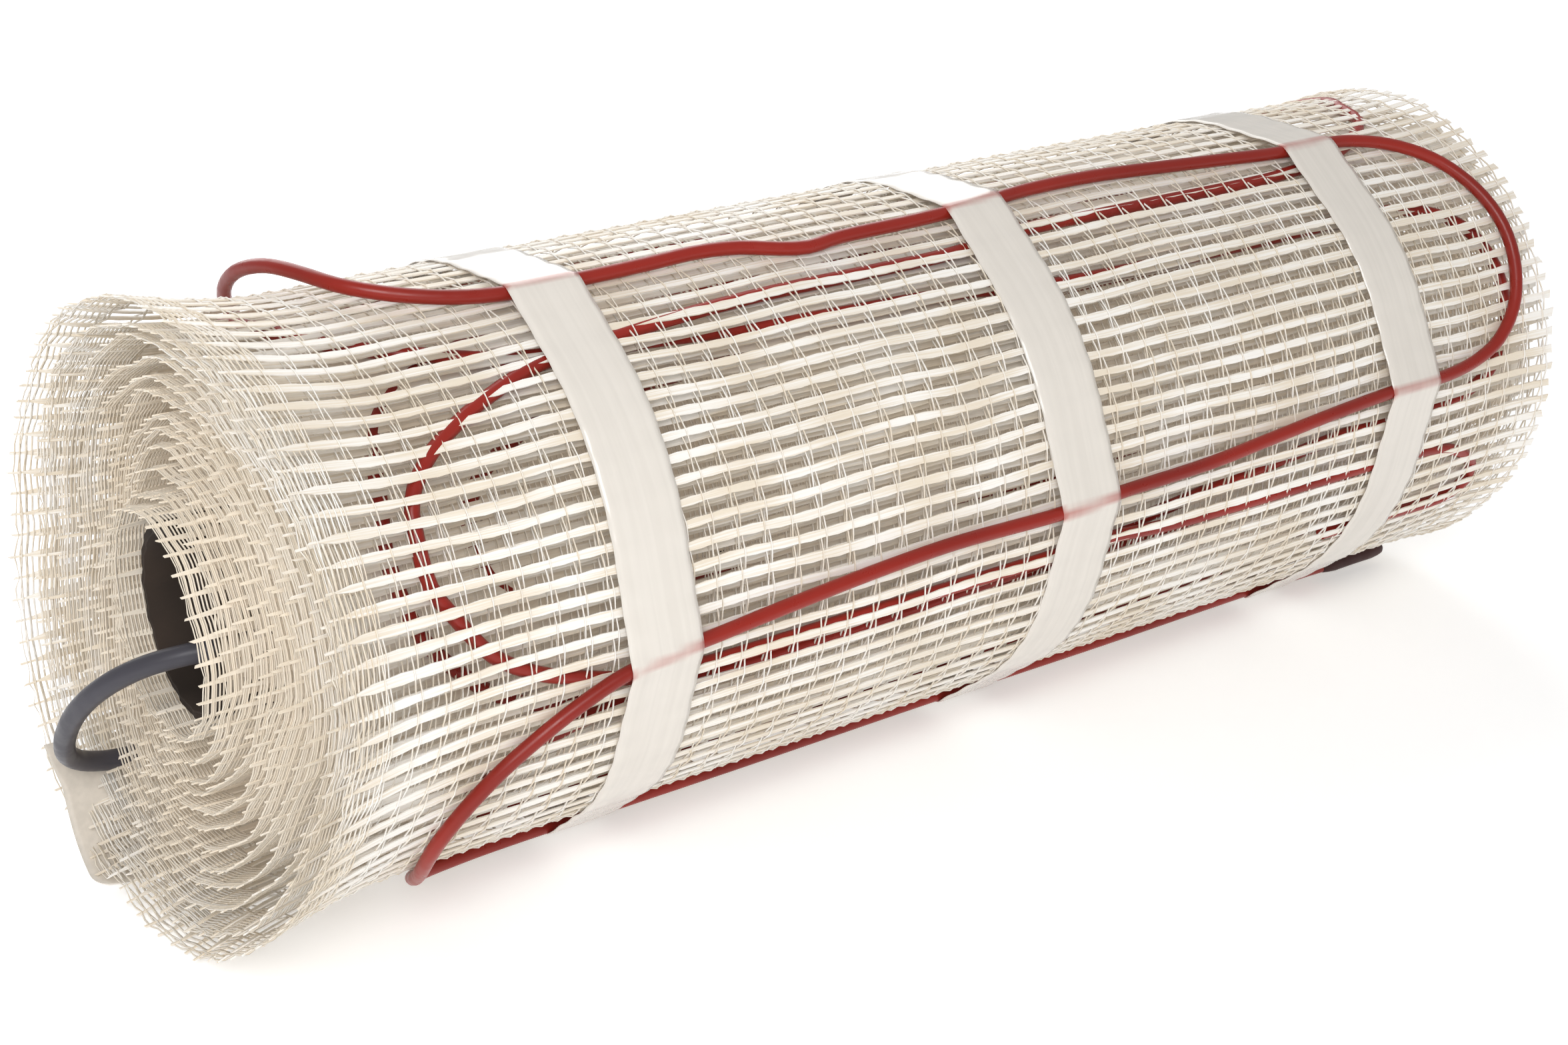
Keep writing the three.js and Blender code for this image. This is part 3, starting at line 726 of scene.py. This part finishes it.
class MAT_OT_lead(bpy.types.Operator):
    """Adds the supply lead, its bare cores and its paper label"""
    bl_idname = "heating_mat.lead"
    bl_label = "Supply Lead"

    def route(self):
        """The lead's line: its visible loop, then the hank folded in the bore."""
        points = [list(p) for p in LEAD_POINTS]
        points += [[-207.6, -HANK_SIDE, HANK_UPPER], [-100, -HANK_SIDE, HANK_UPPER]]
        points += self.fold(HANK_FAR, -1, HANK_UPPER, HANK_UPPER)
        points += [[100, HANK_SIDE, HANK_UPPER], [-100, HANK_SIDE, HANK_UPPER]]
        points += self.fold(HANK_NEAR, 1, HANK_UPPER, HANK_LOWER)
        points += [[-100, -HANK_SIDE, HANK_LOWER], [100, -HANK_SIDE, HANK_LOWER]]
        points += self.fold(HANK_FAR, -1, HANK_LOWER, HANK_LOWER)
        points += [[100, HANK_SIDE, HANK_LOWER], [-100, HANK_SIDE, HANK_LOWER]]
        points += [[-185, HANK_SIDE, HANK_LOWER]]
        return [Vector(p) * MM for p in smooth_line(points, 3.0)]

    def fold(self, middle, side, start, end):
        """A half turn of the hank about a point on X; the near one goes down a layer."""
        outward = -side
        points = []
        for i in range(9):
            angle = math.pi * i / 8
            x = middle + outward * HANK_SIDE * math.sin(angle)
            y = side * HANK_SIDE * math.cos(angle)
            points.append([x, y, start + (end - start) * i / 8])
        return points

    def cores(self, end):
        """Three bare cores that stand out of the lead's cut end."""
        material = material_of(
            "lead_core", lambda: sheath_material("lead_core", (0.5, 0.5, 0.5), 0.35, 0.2))
        points, faces = [], []
        for i in range(3):
            angle = 2 * math.pi * i / 3
            offset = Vector((0, 0.0013 * math.cos(angle), 0.0013 * math.sin(angle)))
            rings = []
            for step in range(6):
                share = step / 5
                centre = end + offset * (1 + 0.5 * share) + Vector((0.004 - 0.028 * share, 0, 0))
                size = 0.0011 if step < 4 else 0.0006
                rings.append([centre + size * Vector((0, math.cos(a), math.sin(a)))
                              for a in np.linspace(0, 2 * math.pi, 9)[:-1]])
            more, joined = loft(rings, closed=False)
            faces += [tuple(v + len(points) for v in face) for face in joined]
            points += more
        return mesh_from("lead_cores", points, faces, material)

    def label(self):
        """A paper flag with round lower corners that hangs behind the lead and curls forward."""
        back = LEAD_POINTS[0][1] + 3.25 + 0.6
        line = smooth_line([[back + y, z] for y, z in LABEL_DROP], 2.0)
        lengths = np.cumsum([0] + [np.linalg.norm(b - a) for a, b in zip(line, line[1:])]) * MM
        total = lengths[-1]
        rows = []
        for (y, z), at in zip(line, lengths):
            spread = min(1.0, at / 0.016)
            low = -0.2795 + 0.0035 * spread
            high = -0.2715 + 0.0165 * spread ** 2
            left = total - at
            corner = 0.009
            if left < corner:
                cut = corner - math.sqrt(max(0, corner ** 2 - (corner - left) ** 2))
                low, high = low + cut, high - cut
            rows.append([(x, y * MM, z * MM) for x in np.linspace(low, high, 11)])
        points = [p for row in rows for p in row]
        faces = [(i * 11 + j, i * 11 + j + 1, (i + 1) * 11 + j + 1, (i + 1) * 11 + j)
                 for i in range(len(rows) - 1) for j in range(10)]
        piece = mesh_from("paper_flag", points, faces, material_of("paper_label", paper_material))
        solid = piece.modifiers.new("thickness", "SOLIDIFY")
        solid.thickness = 0.0003
        solid.offset = 0
        return piece

    def execute(self, context):
        line = self.route()
        sizes = context.scene.mat_sizes
        lead = tube_along("supply_cord", line, sizes.lead_diameter / 2, grey_lead(), 20)
        cores = self.cores(line[-1])
        label = self.label()
        ride_root(cores, "grey_lead")
        ride_root(label, "paper_label", "lead_label")
        ride_root(lead, "grey_lead", "supply_lead", "lead_hank")
        return {"FINISHED"}


class MAT_OT_tube(bpy.types.Operator):
    """Adds the cardboard winding tube with its rough cut ends"""
    bl_idname = "heating_mat.tube"
    bl_label = "Winding Tube"

    def execute(self, context):
        near, far = tube_low.x, tube_high.x
        outline = [(near, TUBE_BORE), (near - 0.0001, 27.5), (near + 0.0004, 28.0), (near, 28.6),
                   (near + 0.0005, 29.2), (near + 0.0002, 29.9), (near + 0.003, TUBE_RADIUS)]
        outline += [(x, TUBE_RADIUS) for x in np.linspace(-0.2, 0.2, 9)]
        outline += [(far - 0.003, TUBE_RADIUS), (far - 0.0003, 29.9), (far, 28.6),
                    (far - 0.0003, 27.2), (far - 0.003, TUBE_BORE)]
        outline += [(x, TUBE_BORE) for x in np.linspace(0.2, -0.2, 9)]
        rings = []
        for i in range(96):
            degrees = 360 * i / 96
            rough = 0.0002 * math.sin(degrees * 0.31) + 0.00015 * math.sin(degrees * 1.13)
            rings.append([on_roll(x + (rough if abs(x) > 0.24 else 0), degrees, r * MM)
                          for x, r in outline])
        points, faces = loft(rings)
        material = material_of("cardboard", cardboard_material)
        tube = mesh_from("winding_tube", points, faces, material)
        ride_root(tube, "cardboard", "core_tube")
        return {"FINISHED"}


class MAT_OT_mesh(bpy.types.Operator):
    """Weaves and winds every turn of the mesh"""
    bl_idname = "heating_mat.mesh"
    bl_label = "Mesh Turns"

    def execute(self, context):
        sizes = context.scene.mat_sizes
        material = material_of("glass_mesh", fibre_material)
        tree = turn_tree()
        for turn in range(sizes.turn_count):
            radius = ROLL_RADIUS - 0.6 * MM - turn * sizes.turn_pitch
            length = 2 * math.pi * radius
            share = 1 - turn / (sizes.turn_count - 1)
            rows = round(length / WEFT_PITCH)
            fine = turn < 2
            values = {
                "Radius": radius, "Length": length, "Drop": sizes.turn_pitch,
                "Narrow From": -0.238 if turn == 0 else -0.228,
                "Edge Yarns": 8 if turn == 0 else 12,
                "Weft Count": rows,
                "Weft Segments": 102 if turn == 0 else 51 if turn < 3 else 26,
                "Warp Segments": 2 * rows if fine else max(rows, 48),
                "Warp Sides": 3,
                "Crimp": 0.00055 if fine else 0.0, "Lift": 0.0 if fine else 0.00035,
                "Ribbon Width": sizes.ribbon_width, "Ribbon Thickness": RIBBON_THICKNESS,
                "Yarn Size": sizes.yarn_size, "Pair Gap": PAIR_GAP,
                "Near Flare": 0.0085 * share ** 2.5, "Far Flare": 0.002 * share ** 2,
                "Edge Shift": self.edge_shift(share), "Skew": 0.013 * share ** 3,
                "Bottom Reach": 0.015 * min(1.0, share / 0.35),
                "Wobble": 0.0012 if turn < 2 else 0.003,
                "End Wobble": 0.0025 if turn == 0 else 0.009,
                "Seed": turn + 1, "Material": material,
            }
            name = f"mesh_turn_{turn + 1:02d}"
            piece = bake(name, bpy.data.meshes.new(name + "_start"), tree, values)
            ride_root(piece, "glass_mesh", "mat_roll")
        return {"FINISHED"}

    def edge_shift(self, share):
        """How far a turn stands along X: the innermost reaches past the tube, the middle hangs back."""
        places = [0, 0.12, 0.3, 0.55, 0.8, 1]
        shifts = [-8, -1, 5, 6, 2, -3.5]
        return float(np.interp(share, places, shifts)) * MM


class MAT_OT_cable(bpy.types.Operator):
    """Adds the heating cable on the outer turns and its end sleeve"""
    bl_idname = "heating_mat.cable"
    bl_label = "Heating Cable"

    def execute(self, context):
        sizes = context.scene.mat_sizes
        radius = sizes.cable_diameter / 2
        outer = tube_along("outer_cable", cable_line(OUTER_CABLE, CABLE_SEAT), radius, red_cable(), 16)
        ride_root(outer, "red_cable", "heating_cable")
        deeper = (("second_cable", SECOND_CABLE, 1), ("third_cable", THIRD_CABLE, 2),
                  ("fourth_cable", FOURTH_CABLE, 3), ("fifth_cable", FIFTH_CABLE, 4))
        for name, points, depth in deeper:
            seat = CABLE_SEAT - depth * sizes.turn_pitch - 0.2 * MM
            piece = tube_along(name, cable_line(points, seat), radius, red_cable(), 12)
            ride_root(piece, "red_cable", "mat_roll")
        self.sleeve()
        return {"FINISHED"}

    def sleeve(self):
        """The shrunk sleeve on the cable's end, drawn in at both ends."""
        middle = (sleeve_low + sleeve_high) / 2
        full = (sleeve_high.z - sleeve_low.z) / 2
        length = sleeve_high.x - sleeve_low.x
        profile = [(0, 0.55), (0.02, 0.78), (0.1, 0.9), (0.2, 1), (0.5, 0.97), (0.8, 1), (0.9, 0.9),
                   (0.97, 0.75), (1, 0.5)]
        rings = []
        for share, size in profile:
            x = sleeve_low.x + share * length
            rings.append([(x, middle.y + full * size * math.cos(a), middle.z + full * size * math.sin(a))
                          for a in np.linspace(0, 2 * math.pi, 25)[:-1]])
        points, faces = loft(rings, closed=False)
        material = material_of(
            "dark_sleeve", lambda: sheath_material("dark_sleeve", (0.05, 0.012, 0.011), 0.45, 0.0))
        piece = mesh_from("shrunk_sleeve", points, faces, material)
        ride_root(piece, "dark_sleeve", "end_sleeve")


class MAT_OT_tapes(bpy.types.Operator):
    """Adds the three film tapes, drawn tight over the mesh and the cable"""
    bl_idname = "heating_mat.tapes"
    bl_label = "Film Tapes"

    def reach(self, x, degrees, cable):
        """The film's distance from the axis where it spans from cable to cable."""
        angle = np.radians(degrees)
        across = np.stack([-np.cos(angle), np.sin(angle)], 1)
        near = [(p.y, p.z - AXIS_HEIGHT) for p in cable if abs(p.x - x) < 0.003]
        ring = np.radians(np.arange(0, 360, 2.0))
        outline = [np.stack([-np.cos(ring), np.sin(ring)], 1) * (ROLL_RADIUS + 0.0004)]
        small = np.radians(np.arange(0, 360, 20.0))
        for y, z in near:
            outline.append(np.array([y, z]) + 0.0026 * np.stack([np.cos(small), np.sin(small)], 1))
        hull = hull_of(np.concatenate(outline))
        found = np.zeros(len(degrees))
        for a, b in zip(hull, np.roll(hull, -1, axis=0)):
            edge = b - a
            normal = np.array([edge[1], -edge[0]])
            facing = across @ normal
            with np.errstate(divide="ignore", invalid="ignore"):
                distance = (a @ normal) / facing
            hit = across * distance[:, None] - a
            share = (hit @ edge) / (edge @ edge)
            good = (distance > 0) & (share >= -1e-6) & (share <= 1 + 1e-6) & np.isfinite(distance)
            found[good] = distance[good]
        return found

    def execute(self, context):
        cable = cable_line(OUTER_CABLE, CABLE_SEAT, 1.0)
        width = context.scene.mat_sizes.tape_width
        degrees = np.arange(0, 360, 1.0)
        random = np.random.default_rng(5)
        for place_name in ("near", "middle", "far"):
            low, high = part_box("tape_" + place_name)
            middle = (low.x + high.x) / 2
            stations = np.linspace(-width / 2, width / 2, 13)
            shapes = np.array([self.reach(middle + s, degrees, cable) for s in stations])
            sway = 0.0008 * np.sin(np.radians(degrees) * 3 + random.uniform(0, 6))
            creases = 0.00018 * np.sin(np.radians(degrees) * 47 + random.uniform(0, 6))
            rings = []
            for i, angle in enumerate(degrees):
                ring = []
                for off, order in ((0.00022, range(13)), (0.0, range(12, -1, -1))):
                    for j in order:
                        edge = abs(stations[j]) / (width / 2)
                        lift = shapes[j, i] + off + creases[i] * edge - 0.0003 * (edge > 0.95)
                        ring.append(on_roll(middle + stations[j] + sway[i], angle, lift))
                rings.append(ring)
            points, faces = loft(rings)
            film = material_of("film_tape", film_material)
            piece = mesh_from("film_" + place_name, points, faces, film)
            near = np.array([p for p in cable if abs(p.x - middle) < 0.02])
            gaps = [float(np.min(np.linalg.norm(near - np.array(p), axis=1))) for p in points]
            touch = piece.data.attributes.new("touch", "FLOAT", "POINT")
            shares = [max(0.0, 1.0 - max(0.0, gap - FILM_TOUCH) / FILM_FADE) for gap in gaps]
            touch.data.foreach_set("value", shares)
            ride_root(piece, "film_tape", "tape_" + place_name)
        return {"FINISHED"}


def hull_of(points):
    """The corners, in order, of the smallest convex outline round some points."""
    ordered = sorted(map(tuple, points))

    def half(sequence):
        kept = []
        for p in sequence:
            while len(kept) > 1:
                (ax, ay), (bx, by) = kept[-2], kept[-1]
                if (bx - ax) * (p[1] - ay) - (by - ay) * (p[0] - ax) > 1e-12:
                    break
                kept.pop()
            kept.append(p)
        return kept[:-1]

    return np.array(half(ordered) + half(ordered[::-1]))


class MAT_OT_stage(bpy.types.Operator):
    """Adds the pale floor and the soft studio light"""
    bl_idname = "heating_mat.stage"
    bl_label = "Stage"

    def execute(self, context):
        material, nodes, shader = new_material("pale_floor", (0.93, 0.93, 0.93), 0.6,
                                               Emission_Strength=0.3)
        shader.inputs["Emission Color"].default_value = (1, 1, 1, 1)
        size = 6.0
        corners = [(-size, -size, 0), (size, -size, 0), (size, size, 0), (-size, size, 0)]
        floor = mesh_from("floor", corners, [(0, 1, 2, 3)], material, smooth=False)
        world = bpy.data.worlds.new("studio")
        world.use_nodes = True
        nodes = Tree(world.node_tree)
        background = world.node_tree.nodes["Background"]
        background.inputs[0].default_value = (1, 1, 1, 1)
        seen = nodes.add("ShaderNodeLightPath").outputs["Is Camera Ray"]
        strength = nodes.math("MULTIPLY_ADD", seen, 0.5, 0.5)
        world.node_tree.links.new(strength, background.inputs[1])
        context.scene.world = world
        context.scene.view_settings.view_transform = "Standard"
        self.area("key", (-0.60, -0.75, 0.72), 0.5, 6.5)
        self.area("back", (0.3, 1.25, 0.95), 1.6, 17)
        return {"FINISHED"}

    def area(self, name, location, size, power):
        data = bpy.data.lights.new(name, "AREA")
        data.size = size
        data.energy = power
        light = bpy.data.objects.new(name, data)
        bpy.context.scene.collection.objects.link(light)
        light.location = location
        aim = Vector((0, 0, 0.09)) - Vector(location)
        light.rotation_euler = aim.to_track_quat("-Z", "Y").to_euler()


OPERATORS = (MAT_OT_camera, MAT_OT_lead, MAT_OT_tube, MAT_OT_mesh, MAT_OT_cable, MAT_OT_tapes,
             MAT_OT_stage)


class MAT_PT_panel(bpy.types.Panel):
    bl_idname = "MAT_PT_panel"
    bl_label = "Heating Mat"
    bl_space_type = "VIEW_3D"
    bl_region_type = "UI"
    bl_category = "Heating Mat"

    def draw(self, context):
        for operator in OPERATORS:
            self.layout.operator(operator.bl_idname)


CLASSES = (MatSizes, MatLooks, *OPERATORS, MAT_PT_panel)


def register():
    for item in CLASSES:
        bpy.utils.register_class(item)
    bpy.types.Scene.mat_sizes = bpy.props.PointerProperty(type=MatSizes)
    bpy.types.Scene.mat_looks = bpy.props.PointerProperty(type=MatLooks)


def unregister():
    del bpy.types.Scene.mat_looks
    del bpy.types.Scene.mat_sizes
    for item in reversed(CLASSES):
        bpy.utils.unregister_class(item)


def main():
    register()
    for operator in OPERATORS:
        group, name = operator.bl_idname.split(".")
        getattr(getattr(bpy.ops, group), name)()


if __name__ == "__main__":
    main()
